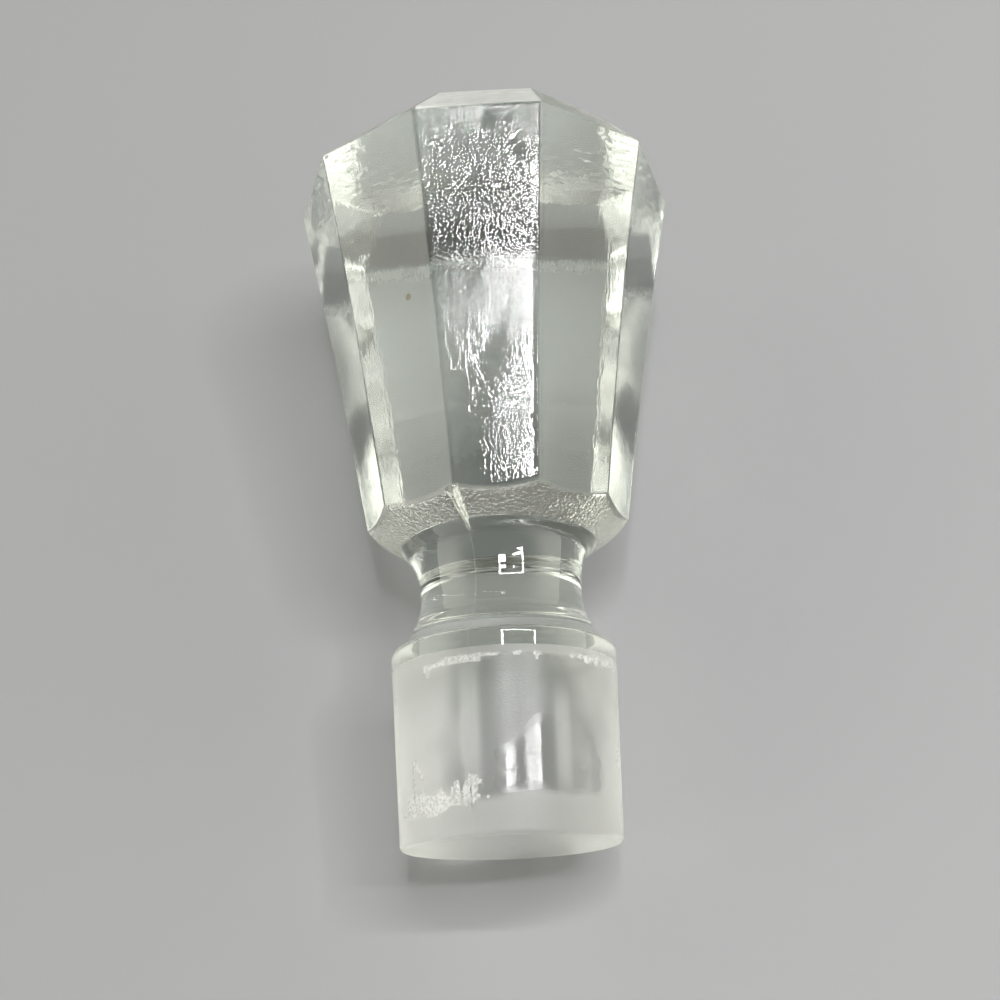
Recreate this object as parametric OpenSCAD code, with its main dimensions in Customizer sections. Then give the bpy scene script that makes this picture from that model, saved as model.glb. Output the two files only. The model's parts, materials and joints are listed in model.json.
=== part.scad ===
// Ten-panel pressed-glass bottle stopper, lying on its side as it comes to rest.
// One solid: capped crown and tapering body, conical underside, waisted neck, ground plug.
// The shape is made upright about +Z, with z = 0 at the foot of the panels, then laid down.

/* [Body] */
// Width across the corners of the rim, the widest part
rim_across = 46; // [42:0.5:50]
// Width across the corners at the foot of the panels
foot_across = 30.3; // [29:0.1:34]
// Height from the foot to the rim
body_h = 42.4; // [36:0.1:50]
// Depth of the slight hollow down the middle of each panel's length
panel_hollow = 0.25; // [0.1:0.05:0.6]

/* [Cap] */
// Width across the corners of the flat top
cap_across = 34.6; // [28:0.1:38]
// Rise of the bevels from the rim to the flat top
cap_rise = 6; // [3:0.1:8]
// How far the flat top sits off the axis, to one side
cap_shift = 0.8; // [0:0.1:1.2]

/* [Underside and neck] */
// Slope of the conical underside below the horizontal, in degrees
underside_slope = 34; // [28:0.5:40]
// Diameter where the underside ends in a small ledge
collar_d = 22.4; // [21.6:0.1:23.6]
// Diameter of the neck at its waist
neck_d = 18; // [16:0.1:19]
// Depth of the waist below the foot
waist_drop = 8.2; // [7.8:0.1:8.8]
// Radius of the neck's hollow curve, seen from the side
neck_curve = 10; // [9:0.1:12]
// Height of the fine step that the mould left round the neck
mould_step = 0.12; // [0.05:0.01:0.2]

/* [Plug] */
// Diameter of the plug just under its shoulder
plug_d = 25; // [24:0.1:27]
// Depth of the shoulder below the foot
shoulder_drop = 14.7; // [14.5:0.1:15.5]
// Depth of the plug's flat end below the foot
end_drop = 36.1; // [30:0.1:44]
// Length in which the plug loses 1 mm of diameter
taper = 16; // [10:1:30]
// Radius of the rounded shoulder
shoulder_round = 0.9; // [0.5:0.1:1]
// Radius of the ground edge round the plug's end
end_round = 0.5; // [0.2:0.1:0.8]

/* [Hidden] */
$fn = 180;

panels = 10;
turn = 360 / panels;
flat_ratio = cos(turn / 2);          // half width across flats over half width across corners
rim_flat = rim_across / 2 * flat_ratio;
foot_flat = foot_across / 2 * flat_ratio;
cap_flat = cap_across / 2 * flat_ratio;
top = body_h + cap_rise;
reach = rim_across;                  // long enough to pass right through the body

// Underside cone, from the ledge out past the foot
collar_r = collar_d / 2;
collar_drop = (foot_across / 2 - collar_r) * tan(underside_slope);
cone_top = (reach - collar_r) * tan(underside_slope) - collar_drop;

// Each hollow panel is an arc through the foot and rim edges
panel_run = rim_flat - foot_flat;
panel_chord = norm([panel_run, body_h]);
panel_arc = (pow(panel_chord / 2, 2) + pow(panel_hollow, 2)) / (2 * panel_hollow);

// Neck: waist arc down to the mould step, then a flare out to the shoulder
neck_r = neck_d / 2;
step_drop = 12.05;
waist_at_step = neck_r + neck_curve - sqrt(pow(neck_curve, 2) - pow(step_drop - waist_drop, 2));
flare_in = waist_at_step + mould_step;
flare_out = plug_d / 2 - 0.5;
flare_drop = shoulder_drop + 0.1;
flare_curve = 5.5;

// Plug: cone with a rounded end
plug_r = plug_d / 2;
round_drop = shoulder_drop + shoulder_round;
end_r = plug_r - (end_drop - round_drop) / taper / 2;
end_centre_r = end_r - end_round;
end_centre_drop = end_drop - end_round;

// Lying down, the rim's lowest edge and the plug's rounded end both touch the ground
lie_a = body_h + end_centre_drop;
lie_b = rim_flat - end_centre_r;
lie = acos(end_round / norm([lie_a, lie_b])) - atan2(lie_a, lie_b);
lift = rim_flat * cos(lie) - body_h * sin(lie);
cap_end_y = cap_flat * sin(lie) + top * cos(lie);
plug_end_y = -end_centre_r * sin(lie) - end_centre_drop * cos(lie) - end_round;
centre_y = (cap_end_y + plug_end_y) / 2;

// Centre of the circle of radius r through p and q, on the left going from p to q
function arc_centre(p, q, r) =
    let (m = (p + q) / 2, d = q - p, h = sqrt(pow(r, 2) - pow(norm(d) / 2, 2)))
    m + h * [-d.y, d.x] / norm(d);

// What is ground away outside one hollow panel
module panel_scoop(facing) {
    middle = [(foot_flat + rim_flat) / 2, body_h / 2];
    outward = [body_h, -panel_run] / panel_chord;
    rotate([90, 0, facing])
        linear_extrude(reach, center = true)
            translate(middle + outward * (panel_arc - panel_hollow))
                circle(panel_arc, $fn = 1440);
}

// What the bevel facing one panel removes above the rim
module bevel_cut(facing) {
    cap_here = cap_flat + cap_shift * cos(facing);
    lean = atan2(rim_flat - cap_here, cap_rise);
    rotate([0, 0, facing])
        translate([rim_flat, 0, body_h])
            rotate([0, -lean, 0])
                translate([0, -reach / 2, -cap_rise])
                    cube([reach / 2, reach, 3 * cap_rise]);
}

// Solid above the underside cone
module underside() {
    rotate_extrude()
        polygon([
            [0, -collar_drop], [collar_r, -collar_drop],
            [reach, cone_top], [reach, top + 1], [0, top + 1]
        ]);
}

module body() {
    difference() {
        intersection() {
            translate([0, 0, -collar_drop])
                cylinder(r = rim_across / 2 + 2, h = top + collar_drop, $fn = panels);
            underside();
        }
        for (i = [0:panels - 1]) {
            panel_scoop(90 + i * turn);
            bevel_cut(90 + i * turn);
        }
    }
}

// Half section of the neck: the waist, then past the mould step the flare to the shoulder
module neck_section() {
    difference() {
        translate([0, -step_drop]) square([collar_r, step_drop]);
        translate([neck_r + neck_curve, -waist_drop]) circle(neck_curve);
    }
    difference() {
        translate([0, -round_drop]) square([flare_out, round_drop - step_drop]);
        translate(arc_centre([flare_in, -step_drop], [flare_out, -flare_drop], flare_curve))
            circle(flare_curve);
    }
}

// Half section of the plug, from its rounded shoulder to its ground end
module plug_section() {
    translate([plug_r - shoulder_round, -round_drop]) intersection() {
        circle(shoulder_round);
        square(shoulder_round);
    }
    polygon([
        [0, -shoulder_drop], [plug_r - shoulder_round, -shoulder_drop],
        [plug_r - shoulder_round, -round_drop], [plug_r, -round_drop],
        [end_r, -end_centre_drop], [end_centre_r, -end_centre_drop],
        [end_centre_r, -end_drop], [0, -end_drop]
    ]);
    translate([end_centre_r, -end_centre_drop]) circle(end_round, $fn = 64);
}

module upright() {
    body();
    rotate_extrude() {
        neck_section();
        plug_section();
    }
}

module stopper() {
    color([0.80, 0.84, 0.79, 0.7])
        translate([0, -centre_y, lift])
            rotate([lie - 90, 0, 0])
                upright();
}

stopper();
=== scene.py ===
import json
import math

import bpy
import numpy as np
from mathutils import Matrix, Vector, noise


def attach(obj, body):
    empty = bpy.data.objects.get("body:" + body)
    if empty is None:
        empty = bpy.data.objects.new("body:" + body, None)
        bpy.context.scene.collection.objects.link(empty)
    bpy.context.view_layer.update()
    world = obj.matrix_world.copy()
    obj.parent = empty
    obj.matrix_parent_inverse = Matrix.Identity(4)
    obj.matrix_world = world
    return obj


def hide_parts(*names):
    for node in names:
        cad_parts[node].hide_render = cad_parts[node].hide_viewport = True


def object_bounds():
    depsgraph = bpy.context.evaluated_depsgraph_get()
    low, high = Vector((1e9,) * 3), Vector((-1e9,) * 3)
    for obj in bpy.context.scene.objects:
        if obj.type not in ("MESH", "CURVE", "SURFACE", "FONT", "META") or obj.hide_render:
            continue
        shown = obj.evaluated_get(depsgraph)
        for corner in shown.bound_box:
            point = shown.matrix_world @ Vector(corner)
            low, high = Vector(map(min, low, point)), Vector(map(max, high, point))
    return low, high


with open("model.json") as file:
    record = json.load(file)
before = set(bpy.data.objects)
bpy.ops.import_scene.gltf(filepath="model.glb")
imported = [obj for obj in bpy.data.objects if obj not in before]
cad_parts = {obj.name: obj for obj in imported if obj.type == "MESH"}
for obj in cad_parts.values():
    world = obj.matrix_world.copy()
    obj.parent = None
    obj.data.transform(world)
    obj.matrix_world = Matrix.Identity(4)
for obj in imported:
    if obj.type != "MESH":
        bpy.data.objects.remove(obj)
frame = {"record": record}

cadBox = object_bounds()
mounts = {m["name"]: m for m in frame["record"]["mounts"]}
print("frame loaded")


# the glass stopper: one closed skin, shaped in its own frame and then laid down

stopperSizes = {                  # millimetres, heights measured from the foot of the panels
    "panels": 10,
    "rimAcross": 46.0, "footAcross": 30.3, "bodyHeight": 42.4, "panelHollow": 0.25,
    "capAcross": 34.6, "capRise": 6.0, "capShift": 0.8,
    "undersideSlope": 34.0, "collarAcross": 22.4,
    "plugAcross": 25.0, "endDrop": 36.1, "taper": 16.0, "endRound": 0.5,
    "edgeSoftness": 0.16, "rimWorn": 1.1,   # how far pressed edges are rounded, and more where it stands
    "undersideSoftness": 0.35,              # and where the panels run into the underside
    "columnsPerPanel": 28, "cornerCrowding": 2.2,             # columns gather towards the corners
    "capRings": (0.05, 0.14, 0.25, 0.37, 0.49, 0.6, 0.7, 0.79, 0.87, 0.93, 0.965, 0.985, 0.995),
    "endRings": (0.97, 0.9, 0.8, 0.66, 0.5, 0.34, 0.18, 0.07),
    "bevelRings": 15, "panelRings": 72, "undersideRings": 16, "neckRings": 56, "plugRings": 44,
    "neckBlended": [              # radius and height down the side where the cone runs into the neck
        (11.20, -2.66), (10.75, -3.35), (10.2, -4.1), (9.72, -5.0), (9.38, -5.9), (9.12, -7.0),
        (9.00, -8.2), (9.10, -9.5), (9.42, -10.9), (9.75, -11.95), (9.90, -12.15),
        (10.10, -12.6), (10.45, -13.3), (11.0, -14.0), (11.6, -14.55), (12.0, -14.82),
        (12.3, -15.0), (12.43, -15.25), (12.47, -15.6)],
    "neckLedged": [               # and down the side where a small ledge is left
        (11.20, -2.66), (10.95, -2.95), (10.3, -3.3), (9.85, -3.75), (9.55, -4.6), (9.3, -6.0),
        (9.05, -7.8), (9.12, -9.3), (9.42, -10.9), (9.75, -11.95), (9.90, -12.15),
        (10.10, -12.6), (10.45, -13.3), (11.0, -14.0), (11.6, -14.55), (12.0, -14.82),
        (12.3, -15.0), (12.43, -15.25), (12.47, -15.6)],
}
stopperWear = {                   # millimetres of unevenness in the pressed skin
    "slowWave": 0.05, "slowSize": 9.0,
    "fastWave": 0.012, "fastSize": 2.2,
    "facingSet": (0.3, -0.2, 0.2, 0, 0.2, -1.3, -0.2, 0.2, 0, -0.3),   # degrees each panel is turned
    "footSet": (0, 0, 0, -0.05, -0.23, 0, 0, -0.04, 0, 0),     # each panel's foot, in or out
    "seamHigh": 251.5, "seamLow": 254.6,                       # degrees round, at the rim and on the plug
    "seamHeight": 0.05, "seamWidth": 0.12,                     # the mould seam, near one corner
    "secondSeam": 235.0, "secondHeight": 0.03,                 # a fainter one, from the neck down
    "finHeight": 0.5, "finWidth": 0.55,                        # the fin that the seam leaves under the rim
    "raisedLine": 0.03, "raisedAside": 4, "raisedRows": (34, 98),      # beside the panel that faces up
    "ringHeights": (                                           # height, how proud, half width
        (-7.3, 0.10, 1.4), (-7.65, 0.012, 0.1), (-5.85, 0.012, 0.2), (-10.1, 0.035, 0.14),
        (-10.6, 0.02, 0.12), (-8.9, 0.006, 0.1), (-9.6, 0.008, 0.12)),
    "shadedFoot": (24.0, 13.0, 0.55, 0.95),      # painted shade on the lower panels near the foot: where it starts, over what length, strength left and right
    "seed": 7,
}

axisDir = np.array(mounts["cap_top"]["axis"])             # from the plug's end to the cap
sideDir = np.array([1.0, 0.0, 0.0])
backDir = -np.cross(sideDir, axisDir)                     # away from the panel that faces up
footPlace = np.array(mounts["plug_end"]["pos_m"]) + axisDir * stopperSizes["endDrop"] / 1000


def layDown(points):
    return footPlace + points @ np.array([sideDir, backDir, axisDir]) / 1000


def smoothMax(a, b, soft):
    overlap = np.maximum(0, 1 - np.abs(a - b) / soft)
    return np.maximum(a, b) + soft / 4 * overlap ** 2


def smoothTop(values, soft):
    ranked = np.sort(values, axis=0)
    return smoothMax(ranked[-1], ranked[-2], soft)


s = stopperSizes
half = math.pi / s["panels"]
facings = np.array([math.pi / 2 + 2 * half * i for i in range(s["panels"])])
panelFacings = facings + np.radians(stopperWear["facingSet"])
rimFlat = s["rimAcross"] / 2 * math.cos(half)
footFlat = s["footAcross"] / 2 * math.cos(half)
capFlat = s["capAcross"] / 2 * math.cos(half)
topHeight = s["bodyHeight"] + s["capRise"]
slope = math.radians(s["undersideSlope"])
collarRadius = s["collarAcross"] / 2
collarHeight = -(s["footAcross"] / 2 - collarRadius) * math.tan(slope)


def skinField(p):
    x, y, z = p.T
    soft = s["edgeSoftness"]
    t = np.clip(z / s["bodyHeight"], -0.2, 1.2)
    apothem = footFlat + (rimFlat - footFlat) * t - 4 * s["panelHollow"] * t * (1 - t)
    apothem = apothem + np.array(stopperWear["footSet"])[:, None] * (1 - t)
    out = np.cos(panelFacings)[:, None] * x + np.sin(panelFacings)[:, None] * y
    lean = math.cos(math.atan2(rimFlat - footFlat, s["bodyHeight"]))
    panels = smoothTop((out - apothem) * lean, soft)
    capHere = capFlat + s["capShift"] * np.cos(facings)
    run = rimFlat - capHere
    length = np.hypot(run, s["capRise"])
    out = np.cos(facings)[:, None] * x + np.sin(facings)[:, None] * y
    bevels = ((out - rimFlat) * s["capRise"] + (z - s["bodyHeight"]) * run[:, None]) / length[:, None]
    bevels = smoothTop(bevels, soft)
    cone = (np.hypot(x, y) - s["footAcross"] / 2) * math.sin(slope) - z * math.cos(slope)
    worn = soft + s["rimWorn"] * np.clip(y / 14, 0, 1)        # the rim is rubbed round where it stands
    field = smoothMax(panels, bevels, worn)
    field = smoothMax(field, z - topHeight, soft)
    return smoothMax(field, cone, s["undersideSoftness"])


def ease(count, ends):       # shares from 0 to 1, closer together at both ends
    u = np.linspace(0, 1, count)
    return 0.5 + 0.5 * np.tanh(ends * (u - 0.5)) / math.tanh(ends / 2)


def columnAngles():
    k = np.arange(s["columnsPerPanel"]) / (s["columnsPerPanel"] / 2)
    near = np.where(k <= 1, k, 2 - k)
    share = 0.12 * near + 0.88 * near ** s["cornerCrowding"]
    share = np.where(k <= 1, share, 2 - share)
    corners = facings - half
    return (corners[:, None] + half * share[None, :]).ravel(), np.tile(share - 1, s["panels"]) * half


angles, offMiddle = columnAngles()
cosA, sinA = np.cos(angles), np.sin(angles)
reach = 1 / np.cos(offMiddle)                             # corner distance over flat distance


def ring(radius, height, shift=0.0):
    radius = np.broadcast_to(radius, angles.shape)
    height = np.broadcast_to(height, angles.shape)
    return np.stack([radius * cosA + shift, radius * sinA, height], 1)


def bodyRows():
    capRing = ring(capFlat * reach, topHeight, s["capShift"])
    rimRing = ring(rimFlat * reach, s["bodyHeight"])
    capMiddle = np.array([s["capShift"], 0, topHeight])
    rows = [capMiddle + (capRing - capMiddle) * f for f in s["capRings"]]
    rows += [capRing + (rimRing - capRing) * f for f in ease(s["bevelRings"] + 1, 4.0)[:-1]]
    grow = (rimFlat - footFlat) / s["bodyHeight"]
    steep = math.tan(slope)
    footHeight = (footFlat * reach - s["footAcross"] / 2) * steep / (1 - grow * steep * reach)
    for f in ease(s["panelRings"], 4.2):
        height = s["bodyHeight"] + (footHeight - s["bodyHeight"]) * f
        rows.append(ring((footFlat + grow * height) * reach, height))
    footRing = rows[-1]
    collarRing = ring(collarRadius, collarHeight)
    rows += [footRing + (collarRing - footRing) * f for f in ease(s["undersideRings"], 3.0)[1:]]
    return np.array(rows)


def smoothLine(points, steps):                            # a curve through the points, in even steps
    parts = 12
    p = np.array(points)
    p = np.vstack([2 * p[0] - p[1], p, 2 * p[-1] - p[-2]])
    line = []
    for a, b, c, d in zip(p, p[1:], p[2:], p[3:]):
        for t in np.arange(parts) / parts:
            line.append(0.5 * (2 * b + (c - a) * t + (2 * a - 5 * b + 4 * c - d) * t ** 2
                               + (3 * b - a - 3 * c + d) * t ** 3))
    line = np.array(line + [p[-2]])
    run = np.concatenate([[0], np.cumsum(np.linalg.norm(np.diff(line, axis=0), axis=1))])
    at = np.linspace(0, run[-1], steps)
    return np.stack([np.interp(at, run, line[:, 0]), np.interp(at, run, line[:, 1])], 1)


def neckRows():
    blended = smoothLine(s["neckBlended"], s["neckRings"])[1:]
    ledged = smoothLine(s["neckLedged"], s["neckRings"])[1:]
    share = 0.5 + 0.5 * np.cos(angles)                    # 1 on the right, where the ledge is
    share = np.clip(share * 1.6 - 0.3, 0, 1)
    rows = []
    for b, l in zip(blended, ledged):
        rows.append(ring(b[0] + (l[0] - b[0]) * share, b[1] + (l[1] - b[1]) * share))
    shoulder = blended[-1]
    plugLength = s["endDrop"] + s["neckBlended"][-1][1]
    endRadius = s["plugAcross"] / 2 - plugLength / s["taper"] / 2
    centre = endRadius - s["endRound"]
    last = -(s["endDrop"] - s["endRound"])
    for f in ease(s["plugRings"], 2.0)[1:]:
        radius = shoulder[0] + (endRadius - shoulder[0]) * f
        rows.append(ring(radius, shoulder[1] + (last - shoulder[1]) * f))
    for turn in np.linspace(0, math.pi / 2, 8)[1:]:
        rows.append(ring(centre + s["endRound"] * math.cos(turn), last - s["endRound"] * math.sin(turn)))
    rows += [ring(centre * f, -s["endDrop"]) for f in s["endRings"]]
    return np.array(rows)


def waves(points, size, seed):
    place = Vector((seed * 13.7, seed * 5.1, seed * 9.3))
    return np.array([noise.noise(Vector(p) / size + place) for p in points])


def pressedSkin():           # each point slides along its line to the middle until it meets the skin
    w = stopperWear
    rows = bodyRows()
    flat = rows.reshape(-1, 3)
    origin = np.array([0, 0, 22.0])
    wave = w["slowWave"] * waves(flat, w["slowSize"], w["seed"])
    wave += w["fastWave"] * waves(flat, w["fastSize"], w["seed"] + 1)
    wave -= w["slowWave"] * 0.5
    low = np.zeros(len(flat))
    high = np.full(len(flat), 1.05)
    for _ in range(32):
        mid = (low + high) / 2
        inside = skinField(origin + (flat - origin) * mid[:, None]) < wave
        low = np.where(inside, mid, low)
        high = np.where(inside, high, mid)
    return (origin + (flat - origin) * low[:, None]).reshape(rows.shape)


def awayFrom(degrees):       # how far round each column is from there
    return (angles - math.radians(degrees) + math.pi) % (2 * math.pi) - math.pi


def addSeam(rows, coneRows):
    w = stopperWear
    out = np.stack([cosA, sinA, 0 * cosA], 1)
    down = np.array([0, 0, 1.0])
    for i, row in enumerate(rows):
        radius = np.hypot(row[:, 0], row[:, 1])
        height = row[:, 2]
        across = awayFrom(np.interp(height.mean(), (-6, -1), (w["seamLow"], w["seamHigh"]))) * radius
        second = awayFrom(w["secondSeam"]) * radius
        line = w["seamHeight"] * np.exp(-(across / w["seamWidth"]) ** 2)
        line *= np.clip(-height - 0.5, 0, 1)
        line += w["secondHeight"] * np.exp(-(second / w["seamWidth"]) ** 2) * np.clip(-height - 5, 0, 1)
        width = w["finWidth"] * np.clip((height + 4.4) / 4.4, 0.1, 1)
        fin = w["finHeight"] * np.clip((height + 4.6) / 3.6, 0, 1) * np.exp(-(across / width) ** 4)
        fin *= np.clip((0.3 - height) / 0.6, 0, 1)
        lift = line + fin
        if i in coneRows:
            row += lift[:, None] * (out * math.sin(slope) - down * math.cos(slope))
        else:
            row += lift[:, None] * out
        for at, ringHeight, ringWidth in w["ringHeights"]:
            row += (ringHeight * np.exp(-((height - at) / ringWidth) ** 2))[:, None] * out
    return rows


topPanelLook = {            # marks on the panel that faces up: across from its middle, along from its foot
    "facing": 270.0, "halfRound": 18.2, "fade": 0.4,          # degrees round
    "peelAlong": (          # distance from the foot, how strong
        (0, 0.2), (2, 0.17), (14, 0.14), (18, 0.3), (22, 0.35), (24.2, 0.4), (25.6, 0.8), (30, 0.9),
        (43, 1.0)),
    "grainAlong": (
        (0, 0.05), (13, 0.05), (17, 0.6), (19, 1.0), (23, 1.0), (25, 0.6), (26.5, 0.0), (43, 0.0)),
    "smoothSpots": (        # across, along, half width, half length, how smooth
        (0.9, 40.6, 1.0, 1.5, 0.95), (-2.6, 39.4, 0.9, 1.2, 0.7), (3.9, 36.9, 0.8, 2.0, 0.9),
        (-0.6, 34.4, 0.45, 1.3, 0.95), (-4.1, 36.7, 0.5, 0.6, 0.9), (-4.9, 34.1, 1.5, 0.9, 0.6),
        (1.6, 27.3, 1.5, 1.9, 0.7), (-4.1, 27.6, 1.2, 1.6, 0.4), (6.0, 34.0, 0.4, 2.0, 0.6),
        (0.9, 16.6, 1.3, 2.4, 0.9), (5.6, 13.0, 0.5, 16.0, 1.0)),
    "peelSpots": (          # and the same for the lively ones
        (-0.6, 18.3, 1.0, 2.6, 0.3), (3.2, 14.5, 1.0, 7.0, 0.5), (1.9, 6.0, 2.2, 5.0, 0.65),
        (-0.2, 3.0, 1.6, 3.5, 0.4), (-4.5, 38.0, 2.6, 8.0, 0.35)),
    "grainSpots": ((-4.7, 5.0, 1.0, 6.0, 0.8), (-3.8, 15.5, 1.6, 3.0, 0.5)),
    "lineSpots": ((-3.6, 17.0, 2.4, 5.0, 1.0), (-2.6, 8.0, 0.8, 6.0, 0.5)),
}


plugLook = {                # marks on the ground plug: degrees round from the right, heights
    "groundFrom": -17.3,
    "rubbed": {"from": -104.0, "to": -34.0, "soft": 12.0, "low": -32.6, "blur": 1.4, "ragged": 1.6},
    "rubbedTop": ((-100, -26.5), (-88, -26.2), (-80, -24.2), (-70, -23.8), (-55, -25.2), (-40, -26.2)),
    "clearerAt": -80.0, "clearerHalf": 24.0, "clearerSoft": 22.0,      # the side that is ground more finely, where the glass is also painted darker as shade
    "frostBelow": -31.6, "frostAbove": -18.2,
    "frostBands": ((-107, -25.5, 5, 6.0), (-62, -27.0, 4, 5.0)),       # paler, coarser bands that paint the two blurred reflection streaks: at, height, half sizes
    "chalkPatches": (                                                  # and how thick the white grains lie
        (-137, -32.2, 22, 1.2, 0.75), (-109, -31.4, 9, 1.8, 0.5), (-114, -18.1, 16, 0.35, 0.8),
        (-131, -18.6, 2, 0.6, 0.7), (-16, -27.5, 6, 2.0, 0.6), (-32, -17.9, 22, 0.45, 0.6),
        (-75, -18.0, 30, 0.3, 0.35), (-143, -29.0, 9, 2.4, 0.25), (40, -25.0, 30, 1.5, 0.4),
        (110, -31.0, 40, 0.8, 0.5), (160, -18.2, 40, 0.4, 0.5)),
    "chalkSeed": 11,
}
turns = np.degrees(np.arctan2(sinA, cosA))[None, :]


def raggedness(along, size, seed):
    where = np.stack([turns * 0.2 + 0 * along, along, 0 * along], 2).reshape(-1, 3)
    return waves(where, size, seed).reshape(along.shape)


def rubbedShare(along):      # where the ground plug is rubbed clearer
    look = plugLook["rubbed"]
    ragged = raggedness(along, 2.5, 3)
    around = np.clip((turns - look["from"]) / look["soft"] + ragged, 0, 1)
    around = around * np.clip((look["to"] - turns) / look["soft"] + ragged * 2, 0, 1)
    high = np.interp(turns, *zip(*plugLook["rubbedTop"]))
    tall = np.clip((high + look["ragged"] * ragged - along) / look["blur"], 0, 1)
    return around * tall * np.clip((along - look["low"] + 0.5 * ragged) / look["blur"], 0, 1)


def frostShare(along):       # where it is ground coarser and painted paler; two bands of it paint blurred reflection streaks, and the finer side outside it is painted darker as shade
    look = plugLook
    ragged = raggedness(along, 3.5, 5)
    sides = np.abs(turns - look["clearerAt"]) - look["clearerHalf"]
    sides = np.clip(sides / look["clearerSoft"] + ragged, 0, 1)
    low = np.clip((look["frostBelow"] - along) / 0.8 + ragged, 0, 1)
    high = np.clip((along - look["frostAbove"]) / 0.3 + 3 * ragged, 0, 1)
    bands = sum(np.exp(-((turns - at) / wide) ** 4) * np.exp(-((along - height) / long) ** 4)
                for at, height, wide, long in look["frostBands"])
    return np.clip(np.maximum(np.maximum(sides, low), high) + bands, 0, 1)


def chalkyFaces(rows):       # also shuffles the points there, so that the grains aren't square
    random = np.random.default_rng(plugLook["chalkSeed"])
    along = rows[:, :, 2]
    share = 0 * along
    for at, height, wide, long, amount in plugLook["chalkPatches"]:
        around = (turns - at + 180) % 360 - 180
        share += amount * np.exp(-((around / wide) ** 2 + ((along - height) / long) ** 2) ** 1.5)
    loose = np.clip(share * 8, 0, 1) * (along < plugLook["groundFrom"] - 0.1) * (along > -34.5)
    step = 0.4 * math.pi * s["plugAcross"] / len(angles)
    slide = random.uniform(-step, step, share.shape) * loose
    rows[:, :, 0] -= slide * sinA
    rows[:, :, 1] += slide * cosA
    rows[:, :, 2] += random.uniform(-0.13, 0.13, share.shape) * loose
    ragged = waves(rows.reshape(-1, 3), 0.9, 4).reshape(share.shape)
    return share + 0.5 * ragged * np.clip(share * 5, 0, 1) > 0.33


def scuffedShare(rows):      # rubbed dull where the rim stands, and round the bevel that faces up
    ragged = waves(rows.reshape(-1, 3), 1.4, 8).reshape(rows.shape[:2])
    out, along = rows[:, :, 1], rows[:, :, 2] - s["bodyHeight"]
    under = np.clip((out - 6) / 4, 0, 1) * np.exp(-((along + 0.8) / 0.9) ** 2)
    above = np.clip((-12 - out) / 3, 0, 1) * np.clip((along - 0.1) / 0.3, 0, 1)
    return under * np.clip(0.9 + 2 * ragged, 0, 1) + above * np.clip(0.9 + ragged, 0, 1)


def paintedShadeShare(out, along):  # painted shade on the side that lies down: darkens its bevels, and its panels near the foot
    under = np.clip((out - 6) / 4, 0, 1)
    bevels = np.clip((along - s["bodyHeight"]) / 0.4, 0, 1)
    start, over, left, right = stopperWear["shadedFoot"]
    foot = np.clip((start - along) / over, 0, 1) * np.interp(cosA, (-1, 1), (left, right))
    return under * np.maximum(bevels, foot)


def spots(across, along, places):
    return [amount * np.exp(-(((across - u) / wide) ** 2 + ((along - v) / long) ** 2) ** 2)
            for u, v, wide, long, amount in places]


finishOrder = ("pressed", "stippled", "clear", "ground", "chalky", "scuffed")
capRows = len(s["capRings"]) + 1             # the row where each part of the skin starts
bodyStart = capRows - 1 + s["bevelRings"]
coneStart = bodyStart + s["panelRings"]
neckStart = coneStart + s["undersideRings"] - 1
topColumns = range(5 * s["columnsPerPanel"], 6 * s["columnsPerPanel"])      # the panel that faces up


def stopperRows():
    upper = pressedSkin()
    lower = neckRows()
    shrink = np.hypot(upper[-1][:, 0], upper[-1][:, 1]) / collarRadius
    lead = 14
    for i in range(lead):                                 # lead the cone's last ring into the neck
        part = (1 - i / lead) ** 2
        scale = 1 + (shrink - 1) * part
        lower[i][:, :2] *= scale[:, None]
        lower[i][:, 2] += (upper[-1][:, 2] - collarHeight) * part
    rows = np.concatenate([upper, lower])
    rows[coneStart:] = addSeam(rows[coneStart:], range(neckStart - coneStart))
    first, last = stopperWear["raisedRows"]
    line = rows[first:last, topColumns.stop + stopperWear["raisedAside"]]
    line[:, :2] *= 1 + stopperWear["raisedLine"] / np.hypot(line[:, 0], line[:, 1])[:, None]
    return rows


def finishAt(row, column, rows, chalky):
    if row + 1 >= neckStart:
        if rows[row + 1][0, 2] > plugLook["groundFrom"]:
            return "clear"
        return "chalky" if chalky[row, column] else "ground"
    if capRows <= row < bodyStart and column in topColumns:
        return "scuffed"
    return "stippled" if row + 1 >= coneStart else "pressed"


def marksOn(rows):           # how strong each effect is at each point
    look = topPanelLook
    number = np.arange(len(rows))[:, None]
    onPanels = (number >= bodyStart) & (number < coneStart)
    aside = np.abs(angles - math.radians(look["facing"]))
    facingUp = np.clip((math.radians(look["halfRound"]) - aside) / math.radians(look["fade"]), 0, 1)
    across, out, along = rows[:, :, 0], rows[:, :, 1], rows[:, :, 2]
    peelAmount = np.interp(along, *zip(*look["peelAlong"]))
    for spot in spots(across, along, look["smoothSpots"]):
        peelAmount = peelAmount * (1 - spot)
    peelAmount = peelAmount + sum(spots(across, along, look["peelSpots"]))
    grain = np.interp(along, *zip(*look["grainAlong"])) + sum(spots(across, along, look["grainSpots"]))
    lines = sum(spots(across, along, look["lineSpots"]))
    return {
        "topPeel": peelAmount * facingUp * onPanels,
        "topGrain": np.clip(grain, 0, 1) * facingUp * onPanels,
        "topLines": lines * facingUp * onPanels,
        "sidePanel": (1 - facingUp) * onPanels,
        "cap": np.clip((capRows - number) / 2, 0, 1) + 0 * along,
        "scuffed": scuffedShare(rows),
        "paintedShade": paintedShadeShare(out, along),
        "stipple": np.clip((number - coneStart) / 5, 0.25, 1) * (0.55 + 0.9 * np.abs(cosA)),
        "rubbed": rubbedShare(along),
        "frost": frostShare(along),
    }


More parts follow.
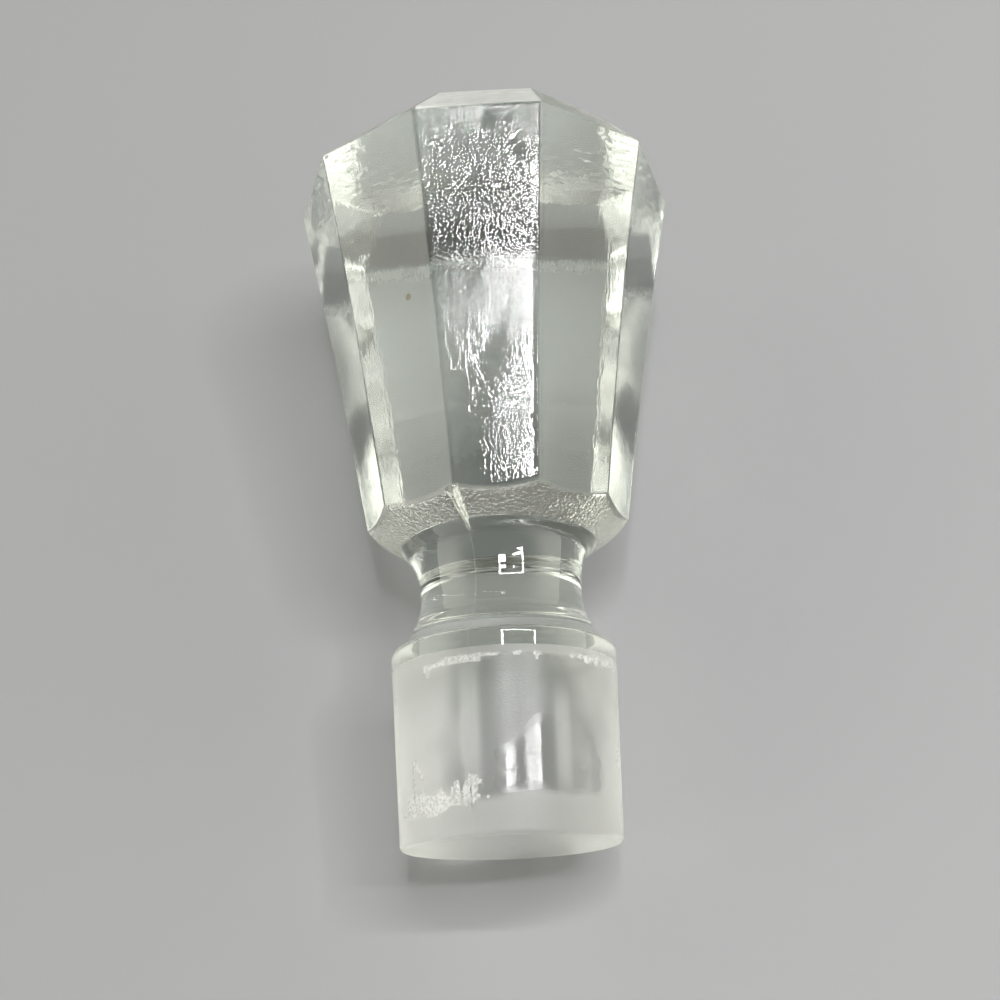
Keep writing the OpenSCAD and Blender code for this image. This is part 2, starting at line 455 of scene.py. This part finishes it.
def buildStopper():
    rows = stopperRows()
    chalky = chalkyFaces(rows)
    count = len(angles)
    capPole = np.array([[s["capShift"], 0, rows[0][:, 2].mean()]])
    endPole = np.array([[0, 0, -s["endDrop"]]])
    points = np.concatenate([rows.reshape(-1, 3), capPole, endPole])
    faces, finishes = [], []
    for r in range(len(rows) - 1):
        for c in range(count):
            d = (c + 1) % count
            faces.append((r * count + c, (r + 1) * count + c, (r + 1) * count + d, r * count + d))
            finishes.append(finishOrder.index(finishAt(r, c, rows, chalky)))
    top, end, last = len(points) - 2, len(points) - 1, (len(rows) - 1) * count
    for c in range(count):
        d = (c + 1) % count
        faces.append((top, c, d))
        faces.append((end, last + d, last + c))
        finishes += [finishOrder.index("pressed"), finishOrder.index("ground")]
    mesh = bpy.data.meshes.new("stopperGlass")
    places = np.clip(layDown(points), np.array(cadBox[0]), np.array(cadBox[1]))   # within the CAD part
    mesh.from_pydata(places.tolist(), [], faces)
    mesh.update()
    mesh.shade_smooth()
    mesh.polygons.foreach_set("material_index", finishes)
    for name, values in marksOn(rows).items():
        layer = mesh.attributes.new(name, "FLOAT", "POINT")
        layer.data.foreach_set("value", np.append(values.ravel(), [1, 0]))
    glass = bpy.data.objects.new("stopperGlass", mesh)
    bpy.context.scene.collection.objects.link(glass)
    return glass


stopper = buildStopper()
print("stopper built:", len(stopper.data.polygons), "faces")


# finishes

def groupOf(name, inputs, outputs):
    group = bpy.data.node_groups.new(name, "ShaderNodeTree")
    for label, kind, value in inputs:
        socket = group.interface.new_socket(label, in_out="INPUT", socket_type=kind)
        if value is not None:
            socket.default_value = value
    for label, kind in outputs:
        group.interface.new_socket(label, in_out="OUTPUT", socket_type=kind)
    start = group.nodes.new("NodeGroupInput")
    finish = group.nodes.new("NodeGroupOutput")
    return group, start, finish


def sums(tree, operation, *values):
    node = tree.nodes.new("ShaderNodeMath")
    node.operation = operation
    for i, value in enumerate(values):
        if isinstance(value, (int, float)):
            node.inputs[i].default_value = value
        else:
            tree.links.new(value, node.inputs[i])
    return node.outputs[0]


def ownPlaceGroup():
    group, _, finish = groupOf("ownPlace", [], [("Place", "NodeSocketVector")])
    coords = group.nodes.new("ShaderNodeTexCoord")
    mapping = group.nodes.new("ShaderNodeMapping")
    mapping.vector_type = "TEXTURE"
    turn = Matrix((sideDir, backDir, axisDir)).transposed()
    mapping.inputs["Location"].default_value = footPlace
    mapping.inputs["Rotation"].default_value = turn.to_euler()
    mapping.inputs["Scale"].default_value = (0.001, 0.001, 0.001)
    group.links.new(coords.outputs["Object"], mapping.inputs["Vector"])
    group.links.new(mapping.outputs["Vector"], finish.inputs["Place"])
    return group


def peelGroup():
    group, start, finish = groupOf("orangePeel", [
        ("Place", "NodeSocketVector", None), ("Size", "NodeSocketFloat", 0.5),
        ("Length", "NodeSocketFloat", 1.0), ("Height", "NodeSocketFloat", 0.01)],
        [("Height", "NodeSocketFloat")])
    squeeze = group.nodes.new("ShaderNodeCombineXYZ")
    inverse = sums(group, "DIVIDE", 1.0, start.outputs["Size"])
    group.links.new(inverse, squeeze.inputs[0])
    group.links.new(inverse, squeeze.inputs[1])
    group.links.new(sums(group, "DIVIDE", inverse, start.outputs["Length"]), squeeze.inputs[2])
    scaled = group.nodes.new("ShaderNodeVectorMath")
    scaled.operation = "MULTIPLY"
    group.links.new(start.outputs["Place"], scaled.inputs[0])
    group.links.new(squeeze.outputs[0], scaled.inputs[1])
    bumps = group.nodes.new("ShaderNodeTexNoise")
    bumps.inputs["Scale"].default_value = 1.0
    bumps.inputs["Detail"].default_value = 1.5
    bumps.inputs["Roughness"].default_value = 0.4
    group.links.new(scaled.outputs[0], bumps.inputs["Vector"])
    group.links.new(sums(group, "MULTIPLY", bumps.outputs["Fac"], start.outputs["Height"]),
                    finish.inputs["Height"])
    return group


ownPlace, orangePeel = ownPlaceGroup(), peelGroup()


def peel(tree, place, size, length, height):
    node = tree.nodes.new("ShaderNodeGroup")
    node.node_tree = orangePeel
    tree.links.new(place, node.inputs["Place"])
    node.inputs["Size"].default_value = size
    node.inputs["Length"].default_value = length
    node.inputs["Height"].default_value = height
    return node.outputs["Height"]


glassColour = (0.90, 0.945, 0.89, 1)


def glassBase(name, look):
    finish = bpy.data.materials.new(name)
    finish.use_nodes = True
    tree = finish.node_tree
    shader = tree.nodes["Principled BSDF"]
    shader.inputs["Base Color"].default_value = look.get("colour", glassColour)
    shader.inputs["Roughness"].default_value = look["rough"]
    shader.inputs["IOR"].default_value = 1.52
    shader.inputs["Transmission Weight"].default_value = look.get("clear", 1.0)
    place = tree.nodes.new("ShaderNodeGroup")
    place.node_tree = ownPlace
    bump = tree.nodes.new("ShaderNodeBump")
    bump.inputs["Distance"].default_value = 0.001
    bump.inputs["Strength"].default_value = 1.0
    tree.links.new(bump.outputs["Normal"], shader.inputs["Normal"])
    return finish, tree, place.outputs["Place"], bump.inputs["Height"]


def attribute(tree, name):
    node = tree.nodes.new("ShaderNodeAttribute")
    node.attribute_name = name
    return node.outputs["Fac"]


def roughBy(tree, start, **shares):      # roughness from a start value and what each mark adds
    rough = start
    for name, share in shares.items():
        rough = sums(tree, "MULTIPLY_ADD", attribute(tree, name), share, rough)
    tree.links.new(rough, tree.nodes["Principled BSDF"].inputs["Roughness"])


def colourBy(tree, share, first, second):
    mix = tree.nodes.new("ShaderNodeMix")
    mix.data_type = "RGBA"
    tree.links.new(share, mix.inputs[0])
    for socket, value in ((mix.inputs[6], first), (mix.inputs[7], second)):
        if isinstance(value, tuple):
            socket.default_value = value
        else:
            tree.links.new(value, socket)
    return mix.outputs[2]


pressedLook = {             # each peel: size, length over size, height, all in millimetres
    "rough": 0.04, "grainRough": 0.06, "capRough": 0.08, "scuffedRough": 0.5,
    "coarse": (0.31, 1.1, 0.042), "fine": (0.16, 1.0, 0.006), "combed": (0.25, 40.0, 0.018),
    "sideLines": (0.28, 20.0, 0.02), "capLumps": (1.6, 1.0, 0.16), "capPits": (0.5, 1.0, 0.035),
    "everywhere": (1.3, 1.0, 0.012),
    "speck": (-8.9, -16.1, 21.7), "speckRadius": 0.55, "speckColour": (0.35, 0.22, 0.06, 1),
    # the dark colour below is painted shade on the side that lies down
    "paintedShadeColour": (0.24, 0.255, 0.24, 1),
}


def pressedFinish():
    look = pressedLook
    finish, tree, place, height = glassBase("pressedGlass", look)
    cap = attribute(tree, "cap")
    capAndScuffs = sums(tree, "ADD", cap, attribute(tree, "scuffed"))
    total = peel(tree, place, *look["everywhere"])
    for name, share in (
            ("coarse", attribute(tree, "topPeel")), ("fine", attribute(tree, "topGrain")),
            ("combed", attribute(tree, "topLines")), ("sideLines", attribute(tree, "sidePanel")),
            ("capLumps", cap), ("capPits", capAndScuffs)):
        total = sums(tree, "ADD", total, sums(tree, "MULTIPLY", peel(tree, place, *look[name]), share))
    tree.links.new(total, height)
    roughBy(tree, look["rough"],
            topGrain=look["grainRough"], cap=look["capRough"], scuffed=look["scuffedRough"])
    apart = tree.nodes.new("ShaderNodeVectorMath")            # one amber speck in the glass skin
    apart.operation = "DISTANCE"
    tree.links.new(place, apart.inputs[0])
    apart.inputs[1].default_value = look["speck"]
    near = sums(tree, "LESS_THAN", apart.outputs["Value"], look["speckRadius"])
    colour = colourBy(tree, near, glassColour, look["speckColour"])
    # painted shade: the glass on the side that lies down is darkened
    colour = colourBy(tree, attribute(tree, "paintedShade"), colour, look["paintedShadeColour"])
    tree.links.new(colour, tree.nodes["Principled BSDF"].inputs["Base Color"])
    return finish


stippledLook = {
    "rough": 0.03, "stippleRough": 0.04, "clear": 0.92, "colour": (0.97, 0.96, 0.88, 1),
    "stipple": (0.36, 1.0, 0.17),
}


def stippledFinish():
    look = stippledLook
    finish, tree, place, height = glassBase("stippledGlass", look)
    bumps = peel(tree, place, *look["stipple"])
    tree.links.new(sums(tree, "MULTIPLY", bumps, attribute(tree, "stipple")), height)
    roughBy(tree, look["rough"], stipple=look["stippleRough"])
    return finish


clearLook = {"rough": 0.02, "ripple": (1.2, 1.0, 0.006)}


def clearFinish():
    finish, tree, place, height = glassBase("clearGlass", clearLook)
    tree.links.new(peel(tree, place, *clearLook["ripple"]), height)
    return finish


# the dark colour is painted shade on the finely ground side; the pale one, over the frost and its bands,
# also paints two reflection streaks
groundLook = {
    "rough": 0.34, "frostRough": 0.12, "rubbedRough": -0.28, "clear": 0.95, "grain": (0.34, 0.5, 0.016),
    "shadedFineColour": (0.43, 0.44, 0.425, 1), "frostColour": (1.0, 1.0, 0.975, 1),
}


def groundFinish():
    look = groundLook
    finish, tree, place, height = glassBase("groundGlass", look)
    roughBy(tree, look["rough"], frost=look["frostRough"], rubbed=look["rubbedRough"])
    # painted shade where the plug is finely ground, and painted reflection streaks along the frost bands
    colour = colourBy(tree, attribute(tree, "frost"), look["shadedFineColour"], look["frostColour"])
    tree.links.new(colour, tree.nodes["Principled BSDF"].inputs["Base Color"])
    tree.links.new(peel(tree, place, *look["grain"]), height)
    return finish


chalkyLook = {
    "name": "chalkyGlass", "rough": 0.4, "clear": 0.62, "grain": (0.32, 1.0, 0.06),
    "mottle": (0.3, 1.0, 4.0), "dark": (0.62, 0.625, 0.61, 1), "pale": (1.0, 1.0, 0.98, 1),
}
scuffedLook = {
    "name": "scuffedGlass", "rough": 0.3, "clear": 0.5, "grain": (0.5, 0.3, 0.12),
    "mottle": (1.4, 0.5, 4.0), "dark": (0.84, 0.85, 0.82, 1), "pale": (1.0, 1.0, 0.98, 1),
}


def mottledFinish(look):
    finish, tree, place, height = glassBase(look["name"], look)
    share = sums(tree, "SUBTRACT", peel(tree, place, *look["mottle"]), 1.5)
    colour = colourBy(tree, share, look["dark"], look["pale"])
    tree.links.new(colour, tree.nodes["Principled BSDF"].inputs["Base Color"])
    tree.links.new(peel(tree, place, *look["grain"]), height)
    return finish


finishes = {
    "pressed": pressedFinish(), "stippled": stippledFinish(), "clear": clearFinish(),
    "ground": groundFinish(), "chalky": mottledFinish(chalkyLook), "scuffed": mottledFinish(scuffedLook),
}
for finishName in finishOrder:
    stopper.data.materials.append(finishes[finishName])

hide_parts("stopper")
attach(stopper, "root")


# floor

floorLook = {"half": 1.5, "colour": (0.33, 0.33, 0.345, 1), "rough": 0.6}


def buildFloor():
    half = floorLook["half"]
    mesh = bpy.data.meshes.new("floor")
    corners = [(-half, -half, 0), (half, -half, 0), (half, half, 0), (-half, half, 0)]
    mesh.from_pydata(corners, [], [(0, 1, 2, 3)])
    paint = bpy.data.materials.new("floorPaint")
    paint.use_nodes = True
    shader = paint.node_tree.nodes["Principled BSDF"]
    shader.inputs["Base Color"].default_value = floorLook["colour"]
    shader.inputs["Roughness"].default_value = floorLook["rough"]
    mesh.materials.append(paint)
    ground = bpy.data.objects.new("floor", mesh)
    bpy.context.scene.collection.objects.link(ground)
    return ground


floor = buildFloor()
print("floor built")


# light

lampLook = {               # metres: a wide rectangular frame of light strips, lying level
    "centre": (0.176, 0.012, 0.60),
    "halfWide": 0.178, "halfLong": 0.065, "strip": 0.016,
    "nearGapAt": (-0.52, 0.04), "nearReach": 0.96,     # the near strip's gap and its ends, in half widths
    "brightness": 72.0,
}


def frameLamp():
    look = lampLook
    wide, long, strip = look["halfWide"], look["halfLong"], look["strip"]
    (gapStart, gapEnd), reachOut = look["nearGapAt"], look["nearReach"]
    strips = {               # each strip: its middle and its size
        "Left": (-wide, 0, strip, 2 * long + strip), "Right": (wide, 0, strip, 2 * long + strip),
        "Far": (0, long, 2 * wide - strip, strip),
        "NearLeft": (wide * (gapStart - reachOut) / 2, -long, wide * (reachOut + gapStart), strip),
        "NearRight": (wide * (gapEnd + reachOut) / 2, -long, wide * (reachOut - gapEnd), strip),
    }
    for name, (x, y, sizeX, sizeY) in strips.items():
        lamp = bpy.data.lights.new("frameLamp" + name, "AREA")
        lamp.shape = "RECTANGLE"
        lamp.size, lamp.size_y = sizeX, sizeY
        lamp.energy = look["brightness"] * math.pi * sizeX * sizeY
        holder = bpy.data.objects.new("frameLamp" + name, lamp)
        holder.location = Vector(look["centre"]) + Vector((x, y, 0))
        bpy.context.scene.collection.objects.link(holder)


roomLook = {               # how bright the studio is in each direction
    "left": 3.3, "right": 3.0, "back": 0.07, "front": 0.05, "above": 0.11,
    "wallsTo": 0.35, "ceilingFrom": 0.85,                      # heights on the unit sphere
    "warmth": (0.98, 0.98, 0.88, 1), "backdrop": (0.62, 0.62, 0.63, 1),
}


def studioRoom():
    look = roomLook
    world = bpy.data.worlds.new("studio")
    bpy.context.scene.world = world
    world.use_nodes = True
    tree = world.node_tree
    tree.nodes.clear()
    coords = tree.nodes.new("ShaderNodeTexCoord")
    split = tree.nodes.new("ShaderNodeSeparateXYZ")
    tree.links.new(coords.outputs["Generated"], split.inputs[0])
    x, y, z = split.outputs
    level = sums(tree, "SUBTRACT", 1.0, sums(tree, "MULTIPLY", z, z))
    level = sums(tree, "SQRT", sums(tree, "MAXIMUM", level, 1e-4))
    sideways = sums(tree, "DIVIDE", sums(tree, "ABSOLUTE", x), level)
    sideways = sums(tree, "MULTIPLY", sideways, sideways)
    lengthways = sums(tree, "SUBTRACT", 1.0, sideways)

    def either(value, below, above):     # one brightness on each side of the middle
        return sums(tree, "MULTIPLY_ADD", sums(tree, "GREATER_THAN", value, 0.0), above - below, below)

    walls = sums(tree, "ADD", sums(tree, "MULTIPLY", sideways, either(x, look["left"], look["right"])),
                 sums(tree, "MULTIPLY", lengthways, either(y, look["front"], look["back"])))
    rise = tree.nodes.new("ShaderNodeMapRange")
    rise.interpolation_type = "SMOOTHSTEP"
    rise.inputs["From Min"].default_value = look["wallsTo"]
    rise.inputs["From Max"].default_value = look["ceilingFrom"]
    tree.links.new(z, rise.inputs["Value"])
    blend = rise.outputs["Result"]
    total = sums(tree, "ADD", sums(tree, "MULTIPLY", sums(tree, "SUBTRACT", 1.0, blend), walls),
                 sums(tree, "MULTIPLY", blend, look["above"]))
    sky = tree.nodes.new("ShaderNodeBackground")
    sky.inputs["Color"].default_value = look["warmth"]
    tree.links.new(total, sky.inputs["Strength"])
    backdrop = tree.nodes.new("ShaderNodeBackground")         # what the camera itself sees behind the floor
    backdrop.inputs["Color"].default_value = look["backdrop"]
    seen = tree.nodes.new("ShaderNodeLightPath")
    pick = tree.nodes.new("ShaderNodeMixShader")
    tree.links.new(seen.outputs["Is Camera Ray"], pick.inputs[0])
    tree.links.new(sky.outputs[0], pick.inputs[1])
    tree.links.new(backdrop.outputs[0], pick.inputs[2])
    out = tree.nodes.new("ShaderNodeOutputWorld")
    tree.links.new(pick.outputs[0], out.inputs["Surface"])


frameLamp()
studioRoom()
print("lights built")


# camera

cameraView = {
    "place": (0.001272, -0.076737, 0.154157),
    "right": (0.998906, -0.038086, -0.027126),
    "up": (0.046381, 0.880635, 0.471520),
    "lens": 48.245,
}


def placeCamera():
    lens = bpy.data.cameras.new("camera")
    lens.lens = cameraView["lens"]
    lens.sensor_width = 36
    lens.clip_start = 0.01
    camera = bpy.data.objects.new("camera", lens)
    right, up = Vector(cameraView["right"]), Vector(cameraView["up"])
    facing = Matrix((right, up, right.cross(up))).transposed()
    camera.matrix_world = Matrix.Translation(Vector(cameraView["place"])) @ facing.to_4x4()
    bpy.context.scene.collection.objects.link(camera)
    bpy.context.scene.camera = camera


placeCamera()
bpy.context.scene.view_settings.view_transform = "Standard"
light = bpy.context.scene.cycles           # light bounces many times inside the faceted glass
light.max_bounces, light.glossy_bounces, light.transmission_bounces = 24, 20, 24
print("camera placed")

bpy.context.view_layer.update()
